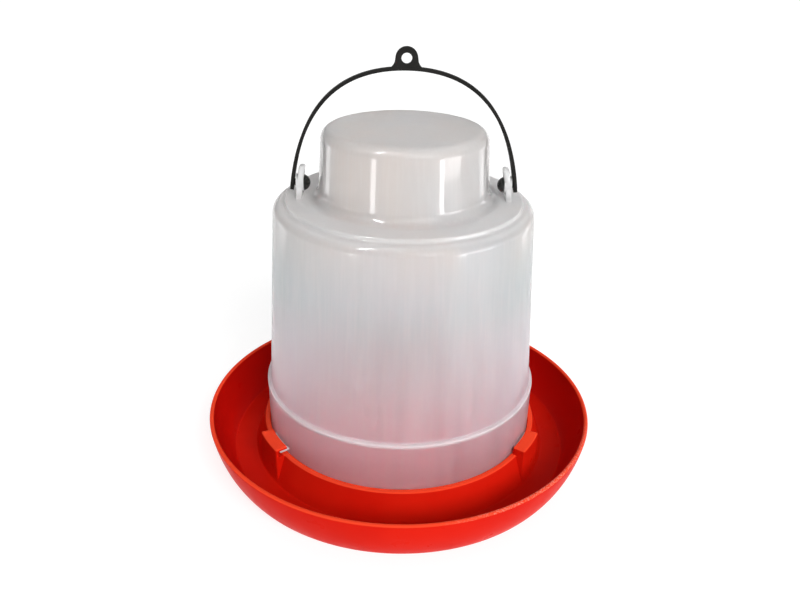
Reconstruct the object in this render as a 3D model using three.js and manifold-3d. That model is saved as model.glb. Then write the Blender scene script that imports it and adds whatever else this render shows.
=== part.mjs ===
// Poultry waterer: a translucent water fount that locks by three lugs into a round drinking
// tray, and hangs from a bail on two dome-headed pivot pins.
// Millimetres, +Z up, front towards -Y. The origin is on the ground under the tray's centre.
import * as THREE from 'three';
import { mergeVertices } from 'three/addons/utils/BufferGeometryUtils.js';
import Module from 'manifold-3d';

const wasm = await Module();
wasm.setup();

const DEG = Math.PI / 180;
const TRAY_FACETS = 48;
const PIN_FACETS = 24;
const OVERCUT = 5;

// Tray: outer wall, trough floor and foot ring
const RIM_RADIUS = 150;
const RIM_TOP = 37;
const RIM_WIDTH = 3.2;
const RIM_DEPTH = 2.5;
const RIM_ROUNDING = 1;
const FOOT_RADIUS = 135;
const FOOT_WIDTH = 4;
const FOOT_DRAFT = 0.6;
const WALL_FOOT = [136.4, 0.9];
const WALL_PULL = [146.2, 13.9];
const TROUGH_PULL = [142.5, 13];
const TROUGH_OUTER_RADIUS = 131.4;
const FLOOR_TOP = 6;
const FLOOR_THICKNESS = 2.5;

// Tray: conical collar that the fount stands in
const COLLAR_FOOT_RADIUS = 115;
const COLLAR_TOP_RADIUS = 107.6;
const COLLAR_TOP = 28.8;
const COLLAR_EDGE = 0.7;
const COLLAR_BORE_RADIUS = 103.8;
const COLLAR_BORE_FOOT_RADIUS = 111.6;
const OUTLET_ANGLES = [30, 150];
const OUTLET_HALF_ANGLE = 6;
const OUTLET_SILL = 0.5;
const OUTLET_HEIGHT = 8;

// Tray: the three bayonet pockets on the collar, each closed at its clockwise end
const POCKET_ANGLES = [-150, -30, 90];
const POCKET_HALF_ANGLE = 7.2;
const POCKET_INNER_RADIUS = 106.3;
const POCKET_RADIUS = 114.5;
const POCKET_WALL = 2.2;
const POCKET_TOP = 35.2;
const POCKET_END_ANGLE = 1.2;
const SLOT_ROOF = 33.5;

// Fount: one moulded shell, open at the bottom
const WALL = 2.2;
const MOUTH_BOTTOM = 6.3;
const MOUTH_RADIUS = 103.1;
const BEAD_RADIUS = 103.7;
const BEAD_SWELL = 0.3;
const BEAD_ROUNDING = 0.6;
const BEAD_BOTTOM = 62.5;
const BEAD_TOP = 65.6;
const BODY_FOOT_RADIUS = 101;
const BODY_TOP_RADIUS = 93.3;
const SHOULDER_HEIGHT = 208.5;
const SHOULDER_ROUNDING = 7.2;
const RAISED_RING_RADIUS = 84.5;
const RAISED_RING_HEIGHT = 3.1;
const RAISED_RING_ROUNDING = 1;
const CAP_FILLET = 7.6;
const CAP_FOOT_RADIUS = 60.6;
const CAP_TOP_RADIUS = 58.4;
const CAP_ROUNDING = 8;
const CAP_TOP = 257.8;

// Fount: lugs on the skirt and vent notches in its bottom edge
const LUG_BOTTOM = 31.2;
const LUG_HEIGHT = 1.9;
const LUG_RADIUS = 110.6;
const LUG_CLEARANCE_ANGLE = 0.5;
const LUG_INSET_ANGLE = 0.2;
const VENT_ANGLES = [-90, 30, 150];
const VENT_HALF_ANGLE = 5;
const VENT_TOP = 20;

// Ears that carry the bail's pivots
const PIVOT_HEIGHT = 217.3;
const EAR_FOOT = 207.4;
const EAR_FOOT_RISE = 2;
const EAR_FOOT_HALF_WIDTH = 14;
const EAR_PULL = [5.6, 210];
const EAR_NECK_HEIGHT = 220;
const EAR_TIP_RADIUS = 5.6;
const EAR_TOP = 230.4;
const EAR_OUTER = 75.9;
const EAR_INNER = 71.8;
const EAR_LEAN = 2.6;
const EAR_LEAN_DROP = 3;
const BOSS_RADIUS = 6.2;
const BOSS_INNER = 70.8;
const PIVOT_HOLE_RADIUS = 2.7;

// Bail: a moulded strap bent to an arch, with a hanging eye at its crown
const BAIL_THICKNESS = 2;
const BAIL_END_WIDTH = 10.6;
const BAIL_CROWN_WIDTH = 4.6;
const BAIL_END = [79, 214];
const BAIL_SIDE_PULL = [72.5, 268];
const BAIL_CROWN_PULL = [48, 297];
const BAIL_CROWN = [0, 297];
const BAIL_STEPS = 14;
const TAPER_START = 226;
const EYE_HEIGHT = 303.7;
const EYE_RADIUS = 3.6;
const TAB_RADIUS = 7.6;
const TAB_TOP = 311.2;
const TAB_BASE_HALF_WIDTH = 10.9;
const TAB_SINK = 0.4;
const TAB_NECK_HEIGHT = 4;
const TAB_NECK_SPREAD = 0.4;
const TAB_THICKNESS = 4;

// Pivot pins, one a side
const PIN_RADIUS = 2.5;
const PIN_TAIL_RADIUS = 2;
const PIN_TAIL_HOLE_RADIUS = 2.15;
const PIN_HEAD_RADIUS = 5.6;
const PIN_HEAD_BASE = 70.5;
const PIN_HEAD_HEIGHT = 4.2;
const PIN_SHOULDER = 76.9;
const PIN_END = 79.2;

// ---- helpers ----

function point(x, y) {
  return new THREE.Vector2(x, y);
}

function arc(centreX, centreY, radius, fromDegrees, toDegrees, steps) {
  const points = [];
  for (let i = 0; i <= steps; i += 1) {
    const angle = (fromDegrees + ((toDegrees - fromDegrees) * i) / steps) * DEG;
    points.push(point(centreX + radius * Math.cos(angle), centreY + radius * Math.sin(angle)));
  }
  return points;
}

function bend(start, control, end, steps) {
  return new THREE.QuadraticBezierCurve(start, control, end).getPoints(steps);
}

function toSolid(geometry) {
  const bare = geometry.clone();
  bare.deleteAttribute('normal');
  bare.deleteAttribute('uv');
  const merged = mergeVertices(bare, 1e-4);
  const index = merged.index.array;
  const triangles = [];
  for (let i = 0; i < index.length; i += 3) {
    const [a, b, c] = [index[i], index[i + 1], index[i + 2]];
    if (a !== b && b !== c && c !== a) triangles.push(a, b, c);
  }
  const vertProperties = new Float32Array(merged.attributes.position.array);
  const triVerts = new Uint32Array(triangles);
  return new wasm.Manifold(new wasm.Mesh({ numProp: 3, vertProperties, triVerts }));
}

function toGeometry(solid) {
  const mesh = solid.getMesh();
  const geometry = new THREE.BufferGeometry();
  geometry.setAttribute('position', new THREE.BufferAttribute(mesh.vertProperties, 3));
  geometry.setIndex(new THREE.BufferAttribute(mesh.triVerts, 1));
  geometry.computeVertexNormals();
  return geometry;
}

// A solid of revolution about Z. The profile's outer side runs upwards.
function turned(profile, facets) {
  return toSolid(new THREE.LatheGeometry(profile, facets).rotateX(90 * DEG));
}

// The same about X at the pivots' height, with the profile's height along +X.
function turnedOnPivot(profile) {
  const geometry = new THREE.LatheGeometry(profile, PIN_FACETS).rotateX(90 * DEG);
  return toSolid(geometry.rotateY(90 * DEG).translate(0, 0, PIVOT_HEIGHT));
}

function extruded(shape, depth, curveSegments) {
  return new THREE.ExtrudeGeometry(shape, { depth, curveSegments, bevelEnabled: false });
}

// A block that bends round the Z axis, between two radii, two angles and two heights.
function ringSector(inner, outer, from, to, low, high) {
  const shape = new THREE.Shape();
  shape.absarc(0, 0, outer, from * DEG, to * DEG, false);
  shape.absarc(0, 0, inner, to * DEG, from * DEG, true);
  return toSolid(extruded(shape, high - low, 3).translate(0, 0, low));
}

// An outline drawn in X and Z, given a width along Y that is centred on Y = 0.
function frontPlate(shape, width) {
  return toSolid(extruded(shape, width, 12).rotateX(90 * DEG).translate(0, width / 2, 0));
}

// An outline drawn in Y and Z, given a width along X from x = from.
function sidePlate(shape, from, width) {
  const geometry = extruded(shape, width, 12).rotateX(90 * DEG).rotateZ(90 * DEG);
  return toSolid(geometry.translate(from, 0, 0));
}

function mirrored(solid) {
  return solid.mirror([1, 0, 0]);
}

// ---- tray ----

function trayBlank() {
  const under = FLOOR_TOP - FLOOR_THICKNESS;
  const wallTop = point(RIM_RADIUS, RIM_TOP - RIM_DEPTH);
  const lipInner = point(RIM_RADIUS - RIM_WIDTH, RIM_TOP - RIM_DEPTH);
  const troughEdge = point(TROUGH_OUTER_RADIUS, FLOOR_TOP);
  return turned([
    point(0, under),
    point(FOOT_RADIUS - FOOT_WIDTH - FOOT_DRAFT, under),
    point(FOOT_RADIUS - FOOT_WIDTH, 0),
    point(FOOT_RADIUS, 0),
    ...bend(point(...WALL_FOOT), point(...WALL_PULL), wallTop, 5),
    point(RIM_RADIUS, RIM_TOP - RIM_ROUNDING),
    point(RIM_RADIUS - RIM_ROUNDING, RIM_TOP),
    point(RIM_RADIUS - RIM_WIDTH + RIM_ROUNDING, RIM_TOP),
    ...bend(lipInner, point(...TROUGH_PULL), troughEdge, 6),
    point(COLLAR_FOOT_RADIUS, FLOOR_TOP),
    point(COLLAR_TOP_RADIUS, COLLAR_TOP - COLLAR_EDGE),
    point(COLLAR_TOP_RADIUS - COLLAR_EDGE, COLLAR_TOP),
    point(0, COLLAR_TOP),
  ], TRAY_FACETS);
}

// The space for the fount: conical in the collar, and wider between the pockets above it.
function collarBore() {
  return turned([
    point(0, FLOOR_TOP),
    point(COLLAR_BORE_FOOT_RADIUS, FLOOR_TOP),
    point(COLLAR_BORE_RADIUS, COLLAR_TOP),
    point(POCKET_INNER_RADIUS, COLLAR_TOP),
    point(POCKET_INNER_RADIUS, POCKET_TOP + OVERCUT),
    point(0, POCKET_TOP + OVERCUT),
  ], TRAY_FACETS);
}

function pocketBlock(angle) {
  const inner = COLLAR_BORE_RADIUS - OVERCUT;
  const [from, to] = [angle - POCKET_HALF_ANGLE, angle + POCKET_HALF_ANGLE];
  const low = FLOOR_TOP - FLOOR_THICKNESS / 2;
  return ringSector(inner, POCKET_RADIUS, from, to, low, POCKET_TOP);
}

function pocketSlot(angle) {
  const inner = COLLAR_BORE_RADIUS - OVERCUT;
  const outer = POCKET_RADIUS - POCKET_WALL;
  const from = angle - POCKET_HALF_ANGLE + POCKET_END_ANGLE;
  const to = angle + POCKET_HALF_ANGLE + OVERCUT;
  return ringSector(inner, outer, from, to, COLLAR_TOP, SLOT_ROOF);
}

function outlet(angle) {
  const low = FLOOR_TOP + OUTLET_SILL;
  const [from, to] = [angle - OUTLET_HALF_ANGLE, angle + OUTLET_HALF_ANGLE];
  const inner = COLLAR_BORE_RADIUS - OVERCUT;
  const outer = COLLAR_FOOT_RADIUS + OVERCUT;
  return ringSector(inner, outer, from, to, low, low + OUTLET_HEIGHT);
}

function makeTray() {
  let solid = trayBlank();
  for (const angle of POCKET_ANGLES) solid = solid.add(pocketBlock(angle));
  solid = solid.subtract(collarBore());
  for (const angle of POCKET_ANGLES) solid = solid.subtract(pocketSlot(angle));
  for (const angle of OUTLET_ANGLES) solid = solid.subtract(outlet(angle));
  return solid;
}

// ---- fount ----

function fountShell() {
  const capTopEdge = CAP_TOP_RADIUS - CAP_ROUNDING;
  const capTopCentre = CAP_TOP - CAP_ROUNDING;
  const filletCentre = CAP_FOOT_RADIUS + CAP_FILLET;
  const filletHeight = SHOULDER_HEIGHT + CAP_FILLET;
  const crease = SHOULDER_HEIGHT - RAISED_RING_HEIGHT;
  const roundingCentre = BODY_TOP_RADIUS - SHOULDER_ROUNDING;
  const roundingHeight = crease - SHOULDER_ROUNDING;
  const inside = [
    point(0, CAP_TOP - WALL),
    ...arc(capTopEdge, capTopCentre, CAP_ROUNDING - WALL, 90, 0, 3),
    ...arc(filletCentre, filletHeight, CAP_FILLET + WALL, 180, 270, 3),
    ...arc(roundingCentre, roundingHeight, SHOULDER_ROUNDING - WALL, 90, 5, 3),
    point(BODY_FOOT_RADIUS - WALL, BEAD_TOP - WALL),
    point(BEAD_RADIUS - WALL, BEAD_TOP - 2 * WALL),
    point(MOUTH_RADIUS - WALL, MOUTH_BOTTOM),
  ];
  const outside = [
    point(MOUTH_RADIUS, MOUTH_BOTTOM),
    point(BEAD_RADIUS - BEAD_SWELL, BEAD_BOTTOM),
    point(BEAD_RADIUS, BEAD_TOP - 2 * BEAD_ROUNDING),
    point(BEAD_RADIUS - BEAD_ROUNDING, BEAD_TOP),
    point(BODY_FOOT_RADIUS, BEAD_TOP + BEAD_ROUNDING),
    ...arc(roundingCentre, roundingHeight, SHOULDER_ROUNDING, 5, 90, 4),
    point(RAISED_RING_RADIUS, SHOULDER_HEIGHT - RAISED_RING_ROUNDING),
    point(RAISED_RING_RADIUS - RAISED_RING_ROUNDING, SHOULDER_HEIGHT),
    ...arc(filletCentre, filletHeight, CAP_FILLET, 270, 180, 4),
    ...arc(capTopEdge, capTopCentre, CAP_ROUNDING, 0, 90, 4),
    point(0, CAP_TOP),
  ];
  return turned([...inside, ...outside], TRAY_FACETS);
}

function lug(angle) {
  const inner = MOUTH_RADIUS - WALL / 2;
  const from = angle - POCKET_HALF_ANGLE + POCKET_END_ANGLE + LUG_CLEARANCE_ANGLE;
  const to = angle + POCKET_HALF_ANGLE - LUG_INSET_ANGLE;
  return ringSector(inner, LUG_RADIUS, from, to, LUG_BOTTOM, LUG_BOTTOM + LUG_HEIGHT);
}

function ventNotch(angle) {
  const inner = MOUTH_RADIUS - WALL - OVERCUT;
  const outer = MOUTH_RADIUS + OVERCUT;
  const [from, to] = [angle - VENT_HALF_ANGLE, angle + VENT_HALF_ANGLE];
  return ringSector(inner, outer, from, to, MOUTH_BOTTOM - OVERCUT, VENT_TOP);
}

// The ear's thickness, seen from the front: a plate whose upper part leans inwards.
function earSection() {
  const radius = (EAR_OUTER - EAR_INNER) / 2;
  const bendHeight = PIVOT_HEIGHT - EAR_LEAN_DROP;
  return new THREE.Shape([
    point(EAR_INNER, EAR_FOOT),
    point(EAR_OUTER, EAR_FOOT),
    point(EAR_OUTER, bendHeight),
    ...arc(EAR_INNER + radius - EAR_LEAN, EAR_TOP - radius, radius, 8, 172, 6),
    point(EAR_INNER, bendHeight - EAR_LEAN_DROP),
  ]);
}

// The ear's width, seen from the side: a broad foot that narrows to a round tip.
function earOutline() {
  const base = EAR_FOOT - OVERCUT;
  const flare = EAR_FOOT + EAR_FOOT_RISE;
  const [pull, pullHeight] = EAR_PULL;
  const shape = new THREE.Shape();
  shape.moveTo(-EAR_FOOT_HALF_WIDTH, base);
  shape.lineTo(EAR_FOOT_HALF_WIDTH, base);
  shape.lineTo(EAR_FOOT_HALF_WIDTH, flare);
  shape.quadraticCurveTo(pull, pullHeight, EAR_TIP_RADIUS, EAR_NECK_HEIGHT);
  shape.absarc(0, EAR_TOP - EAR_TIP_RADIUS, EAR_TIP_RADIUS, 0, 180 * DEG, false);
  shape.lineTo(-EAR_TIP_RADIUS, EAR_NECK_HEIGHT);
  shape.quadraticCurveTo(-pull, pullHeight, -EAR_FOOT_HALF_WIDTH, flare);
  return shape;
}

function pivotDisc(radius, from, to) {
  return turnedOnPivot([point(0, from), point(radius, from), point(radius, to), point(0, to)]);
}

function ear() {
  const plate = frontPlate(earSection(), 2 * EAR_FOOT_HALF_WIDTH + OVERCUT);
  return plate
    .intersect(sidePlate(earOutline(), EAR_OUTER - 2 * OVERCUT, 3 * OVERCUT))
    .add(pivotDisc(BOSS_RADIUS, BOSS_INNER, EAR_OUTER))
    .subtract(pivotDisc(2 * BOSS_RADIUS, BOSS_INNER - OVERCUT, BOSS_INNER));
}

function makeFount() {
  let solid = fountShell();
  const pivotHole = pivotDisc(PIVOT_HOLE_RADIUS, BOSS_INNER - OVERCUT, EAR_OUTER + OVERCUT);
  const rightEar = ear().subtract(pivotHole);
  solid = solid.add(rightEar).add(mirrored(rightEar));
  for (const angle of POCKET_ANGLES) solid = solid.add(lug(angle));
  for (const angle of VENT_ANGLES) solid = solid.subtract(ventNotch(angle));
  return solid;
}

// ---- bail ----

// One edge of the strap's front outline, offset from its centre line, from right to left.
function bailEdge(offset) {
  const side = new THREE.CubicBezierCurve(
    point(...BAIL_END), point(...BAIL_SIDE_PULL), point(...BAIL_CROWN_PULL), point(...BAIL_CROWN),
  );
  const right = [];
  for (let i = 0; i <= BAIL_STEPS; i += 1) {
    const along = side.getTangent(i / BAIL_STEPS);
    const centre = side.getPoint(i / BAIL_STEPS);
    right.push(point(centre.x + along.y * offset, centre.y - along.x * offset));
  }
  const start = right[0].clone().sub(side.getTangent(0).multiplyScalar(OVERCUT));
  const left = right.slice(0, -1).map((p) => point(-p.x, p.y)).reverse();
  return [start, ...right, ...left, point(-start.x, start.y)];
}

function bailStrap() {
  const outer = bailEdge(BAIL_THICKNESS / 2);
  const inner = bailEdge(-BAIL_THICKNESS / 2).reverse();
  return frontPlate(new THREE.Shape([...outer, ...inner]), BAIL_END_WIDTH);
}

// The strap's width, seen from the side: round at the pivots and tapered to the crown.
function bailSideOutline() {
  const radius = BAIL_END_WIDTH / 2;
  const halfCrown = BAIL_CROWN_WIDTH / 2;
  const shape = new THREE.Shape();
  shape.absarc(0, PIVOT_HEIGHT, radius, 180 * DEG, 360 * DEG, false);
  shape.lineTo(radius, TAPER_START);
  shape.lineTo(halfCrown, BAIL_CROWN[1]);
  shape.lineTo(halfCrown, BAIL_CROWN[1] + OVERCUT);
  shape.lineTo(-halfCrown, BAIL_CROWN[1] + OVERCUT);
  shape.lineTo(-halfCrown, BAIL_CROWN[1]);
  shape.lineTo(-radius, TAPER_START);
  return shape;
}

// The eye's tab: a round top on sides that flare into the strap.
function eyeTab() {
  const base = BAIL_CROWN[1] + TAB_SINK;
  const neck = TAB_RADIUS + TAB_NECK_SPREAD;
  const neckHeight = base + TAB_NECK_HEIGHT;
  const pull = neck + 2 * TAB_NECK_SPREAD;
  const pullHeight = base + TAB_NECK_HEIGHT / 3;
  const shape = new THREE.Shape();
  shape.moveTo(-TAB_BASE_HALF_WIDTH, base);
  shape.lineTo(TAB_BASE_HALF_WIDTH, base);
  shape.quadraticCurveTo(pull, pullHeight, neck, neckHeight);
  shape.absarc(0, TAB_TOP - TAB_RADIUS, TAB_RADIUS, 8 * DEG, 172 * DEG, false);
  shape.lineTo(-neck, neckHeight);
  shape.quadraticCurveTo(-pull, pullHeight, -TAB_BASE_HALF_WIDTH, base);
  const eye = new THREE.Path();
  eye.absarc(0, EYE_HEIGHT, EYE_RADIUS, 0, 360 * DEG, true);
  shape.holes.push(eye);
  return frontPlate(shape, TAB_THICKNESS);
}

function makeBail() {
  const reach = BAIL_END[0] + OVERCUT;
  const tailHole = pivotDisc(PIN_TAIL_HOLE_RADIUS, -reach, reach);
  return bailStrap()
    .intersect(sidePlate(bailSideOutline(), -reach, 2 * reach))
    .add(eyeTab())
    .subtract(tailHole);
}

// ---- pivot pins ----

// The right-hand pin, with its domed head on the inner side of the ear.
function makePin() {
  const domeRadius = (PIN_HEAD_RADIUS ** 2 + PIN_HEAD_HEIGHT ** 2) / (2 * PIN_HEAD_HEIGHT);
  const domeCentre = PIN_HEAD_BASE - PIN_HEAD_HEIGHT + domeRadius;
  const domeEdge = Math.asin(PIN_HEAD_RADIUS / domeRadius) / DEG;
  return turnedOnPivot([
    point(0, domeCentre - domeRadius),
    ...arc(0, domeCentre, domeRadius, -90, domeEdge - 90, 5).slice(1),
    point(PIN_RADIUS, PIN_HEAD_BASE),
    point(PIN_RADIUS, PIN_SHOULDER),
    point(PIN_TAIL_RADIUS, PIN_SHOULDER),
    point(PIN_TAIL_RADIUS, PIN_END),
    point(0, PIN_END),
  ]);
}

// ---- the assembled waterer ----

function material(color, roughness) {
  return new THREE.MeshStandardMaterial({ color, roughness, metalness: 0 });
}

const trayPlastic = material(0xd1190f, 0.32);
const fountPlastic = material(0xd3d0ce, 0.3);
const bailPlastic = material(0x2d2a29, 0.5);
const pinPlastic = material(0x242221, 0.4);

function piece(name, solid, finish) {
  const mesh = new THREE.Mesh(toGeometry(solid), finish);
  mesh.name = name;
  return mesh;
}

const rightPin = makePin();
const waterer = new THREE.Group();
waterer.add(
  piece('drinking_tray', makeTray(), trayPlastic),
  piece('water_fount', makeFount(), fountPlastic),
  piece('bail', makeBail(), bailPlastic),
  piece('pivot_pin_right', rightPin, pinPlastic),
  piece('pivot_pin_left', mirrored(rightPin), pinPlastic),
);

export default waterer;
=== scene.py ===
import math

import bmesh
import bpy
from mathutils import Matrix, Vector


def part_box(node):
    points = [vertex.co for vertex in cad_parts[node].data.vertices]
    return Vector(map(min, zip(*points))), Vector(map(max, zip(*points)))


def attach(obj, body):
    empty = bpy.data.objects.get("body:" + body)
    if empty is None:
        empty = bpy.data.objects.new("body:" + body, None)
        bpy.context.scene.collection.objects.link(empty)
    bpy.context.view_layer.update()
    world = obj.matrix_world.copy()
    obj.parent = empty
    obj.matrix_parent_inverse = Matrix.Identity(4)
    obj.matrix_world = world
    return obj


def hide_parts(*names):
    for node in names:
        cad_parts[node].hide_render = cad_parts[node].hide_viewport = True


# Poultry waterer: a milky translucent fount on a glossy red drinking tray, with a black bail.
# Metres, +Z up, front towards -Y. Angles round the Z axis are in degrees from +X.

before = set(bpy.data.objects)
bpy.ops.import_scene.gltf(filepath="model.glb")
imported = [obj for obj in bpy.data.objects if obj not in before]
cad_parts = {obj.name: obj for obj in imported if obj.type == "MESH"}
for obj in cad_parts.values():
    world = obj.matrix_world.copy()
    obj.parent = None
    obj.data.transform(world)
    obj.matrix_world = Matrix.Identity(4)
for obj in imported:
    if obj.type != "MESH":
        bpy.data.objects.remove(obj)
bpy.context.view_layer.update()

MM = 0.001
ROUND_STEPS = 288
PIN_STEPS = 64
SHARP_ANGLE = 32
OVERCUT = 5 * MM
THINNEST = 0.3 * MM
SMALLEST_ROUNDING = 0.02 * MM

# ---- sizes that the frame gives ----
tray_low, tray_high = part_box("drinking_tray")
fount_low, fount_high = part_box("water_fount")
bail_low, bail_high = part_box("bail")
pin_low, pin_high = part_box("pivot_pin_right")

RIM_RADIUS = tray_high.x
RIM_TOP = tray_high.z
CAP_TOP = fount_high.z
MOUTH_BOTTOM = fount_low.z
PIVOT_HEIGHT = (pin_low.z + pin_high.z) / 2
TAB_TOP = bail_high.z

# ---- tray ----
RIM_ROUNDING = 1.6 * MM
FOOT_RADIUS = 135 * MM
FOOT_WIDTH = 4 * MM
FOOT_DRAFT = 0.6 * MM
FOOT_ROUNDING = 0.5 * MM
WALL_FOOT = (136.4 * MM, 0.9 * MM)
WALL_PULL = (146.2 * MM, 13.9 * MM)
TROUGH_PULL = (142.5 * MM, 13 * MM)
FLOOR_TOP = 6 * MM
FLOOR_THICKNESS = 2.5 * MM
TROUGH_OUTER_RADIUS = 131.4 * MM
COLLAR_FOOT_RADIUS = 115 * MM
COLLAR_FOOT_ROUNDING = 1.2 * MM
COLLAR_TOP_RADIUS = 107.6 * MM
COLLAR_TOP = 28.8 * MM
COLLAR_EDGE_ROUNDING = 1.1 * MM
COLLAR_BORE_RADIUS = 103.8 * MM
COLLAR_BORE_FOOT_RADIUS = 111.6 * MM
OUTLET_ANGLES = (30, 150)
OUTLET_HALF_ANGLE = 6
OUTLET_SILL = 0.5 * MM
OUTLET_HEIGHT = 8 * MM
OUTLET_ROUNDING = 1.5 * MM
GLINT_RIM_START = 170 * MM

# ---- bayonet pockets on the collar ----
POCKET_ANGLES = (-150, -30, 90)
POCKET_HALF_ANGLE = 7.2
POCKET_INNER_RADIUS = 105.2 * MM
POCKET_RADIUS = 114.5 * MM
POCKET_WALL = 2.2 * MM
POCKET_TOP = 35.2 * MM
POCKET_END_ANGLE = 1.2
POCKET_ROUNDING = 1.3 * MM
SLOT_ROOF = 33.5 * MM
SLOT_ROUNDING = 0.3 * MM
SLOT_OVERCUT_ANGLE = 4

# ---- fount ----
WALL = 2.2 * MM
MOUTH_RADIUS = 103.1 * MM
BEAD_RADIUS = 103.7 * MM
BEAD_BOTTOM = 62.5 * MM
BEAD_TOP = 65.6 * MM
BEAD_ROUNDING = 1.3 * MM
BEAD_SWELL = 0.3 * MM
BEAD_CENTRE_DROP = 1.2 * MM
BEAD_FILLET = 0.8 * MM
BEAD_FILLET_RISE = 0.9 * MM
STEP_ROUNDING = 1.5 * MM
INNER_BEAD_ROUNDING = 1.2 * MM
INNER_BEAD_DROP = 4 * MM
BODY_FOOT_RADIUS = 101 * MM
BODY_TOP_RADIUS = 93.3 * MM
SHOULDER_HEIGHT = 208.5 * MM
SHOULDER_ROUNDING = 7.2 * MM
RAISED_RING_HEIGHT = 3.1 * MM
RAISED_RING_RADIUS = 84.5 * MM
RAISED_RING_FILLET = 1.6 * MM
RAISED_RING_ROUNDING = 1.2 * MM
CAP_FILLET = 7.6 * MM
CAP_FOOT_RADIUS = 60.6 * MM
CAP_TOP_RADIUS = 58.4 * MM
CAP_ROUNDING = 8 * MM
LUG_BOTTOM = 31.2 * MM
LUG_HEIGHT = 1.9 * MM
LUG_RADIUS = 110.6 * MM
LUG_CLEARANCE_ANGLE = 0.5
LUG_INSET_ANGLE = 0.2
LUG_ROUNDING = 0.5 * MM
VENT_ANGLES = (-90, 30, 150)
VENT_HALF_ANGLE = 5
VENT_TOP = 20 * MM
VENT_INNER_RADIUS = 97.1 * MM
VENT_OUTER_RADIUS = 107.1 * MM
VENT_ROUNDING = 2 * MM
VENT_OVERCUT = 4 * MM

# ---- ears ----
EAR_FOOT = 207.4 * MM
EAR_FOOT_HALF_WIDTH = 14 * MM
EAR_NECK_HEIGHT = 220 * MM
EAR_TIP_RADIUS = 5.6 * MM
EAR_TOP = 230.4 * MM
EAR_OUTER = 76.1 * MM
EAR_INNER = 71.8 * MM
EAR_LEAN = 2.6 * MM
EAR_LEAN_START = 213 * MM
EAR_LEAN_POWER = 1.15
EAR_FLARE_POWER = 2.6
EAR_ROUNDING = 1.2 * MM
BOSS_RADIUS = 6.2 * MM
BOSS_INNER = 70.8 * MM
PIVOT_HOLE_RADIUS = 2.7 * MM
PIVOT_HOLE_OVERCUT = 3 * MM

# ---- bail ----
BAIL_THICKNESS = 2.4 * MM
BAIL_END_WIDTH = bail_high.y - bail_low.y
BAIL_CROWN_WIDTH = 4.6 * MM
BAIL_ROUNDING = 0.5 * MM
BAIL_CURVE = [Vector((x, 0, z)) * MM for x, z in ((79.2, 214), (72.7, 268), (48.1, 297), (0, 297))]
BAIL_HOLE_RADIUS = 2.1 * MM
TAPER_START = 226 * MM
EYE_HEIGHT = 303.7 * MM
EYE_RADIUS = 3.6 * MM
TAB_RADIUS = 7.6 * MM
TAB_BASE_HALF_WIDTH = 10.9 * MM
TAB_THICKNESS = 4 * MM
TAB_NECK_HEIGHT = 4 * MM
TAB_NECK_SPREAD = 0.4 * MM
TAB_LIFT = 0.2 * MM

# ---- pivot pins ----
PIN_RADIUS = 2.5 * MM
PIN_TAIL_RADIUS = 2 * MM
PIN_HEAD_RADIUS = (pin_high.z - pin_low.z) / 2
PIN_HEAD_BASE = 70.5 * MM
PIN_SHOULDER = 76.9 * MM
PIN_APEX = pin_low.x
PIN_END = pin_high.x
PIN_ROUNDING = 0.4 * MM

# ---- colours, in linear red, green and blue ----
TRAY_REDS = (0.61, 0.009, 0.003), (0.66, 0.012, 0.004)
TROUGH_SHADE_RED = (0.46, 0.003, 0.002)
EDGE_HIGHLIGHT_RED = (0.95, 0.07, 0.025)
GLINT_PINK = (1.0, 0.62, 0.5)
SKIRT_PINK_GLOW_MILKS = (1.0, 0.84, 0.90), (0.95, 0.85, 0.92)
BODY_MILKS = (0.735, 0.78, 0.785), (0.79, 0.835, 0.845)
CAP_MILKS = (0.80, 0.81, 0.82), (0.89, 0.82, 0.775)
CAP_STREAK_MILK = (0.86, 0.84, 0.83)
HAIR_MILK = (0.97, 0.95, 0.94)
THICK_AND_LIT_MILK = (0.92, 0.92, 0.92)
BAIL_BLACKS = (0.011, 0.011, 0.010), (0.018, 0.017, 0.016)
PIN_BLACKS = (0.010, 0.011, 0.010), (0.018, 0.019, 0.017)

# ---- camera ----
CAMERA_TARGET = Vector((4.0, 0, 125.2)) * MM
CAMERA_DISTANCE = 0.604
CAMERA_ELEVATION = 26.2
CAMERA_AZIMUTH = -2.0
CAMERA_ROLL = 1.43
CAMERA_LENS = 35.7
CAMERA_SENSOR = 36
CAMERA_SHIFT = -0.0086

# ---- studio ----
WORLD_AZIMUTH = 150
WORLD_ELEVATION = 12
WORLD_DIM = 0.22
WORLD_BRIGHT = 0.64
FLOOR_ALBEDO = 0.35
FLOOR_GLOW = 0.78
FLOOR_HALF_SIZE = 60


# ---- mesh helpers ----

def arc(cx, cz, radius, start, end, steps):
    """Points of an arc as (r, z) pairs, with angles in degrees."""
    angles = [math.radians(start + (end - start) * i / steps) for i in range(steps + 1)]
    return [(cx + radius * math.cos(a), cz + radius * math.sin(a)) for a in angles]


def bend(start, control, end, steps):
    """Points of a quadratic curve as (r, z) pairs."""
    points = []
    for i in range(steps + 1):
        t = i / steps
        k = ((1 - t) ** 2, 2 * t * (1 - t), t * t)
        points.append(tuple(k[0] * a + k[1] * b + k[2] * c for a, b, c in zip(start, control, end)))
    return points


def finish_mesh(bm, name):
    """Turns a bmesh into a smooth-shaded mesh whose real corners stay sharp."""
    bmesh.ops.remove_doubles(bm, verts=bm.verts, dist=1e-6)
    bmesh.ops.recalc_face_normals(bm, faces=bm.faces)
    mesh = bpy.data.meshes.new(name)
    bm.to_mesh(mesh)
    bm.free()
    mesh.shade_smooth()
    mesh.set_sharp_from_angle(angle=math.radians(SHARP_ANGLE))
    return mesh


def add_object(name, mesh):
    obj = bpy.data.objects.new(name, mesh)
    bpy.context.scene.collection.objects.link(obj)
    return obj


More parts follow.
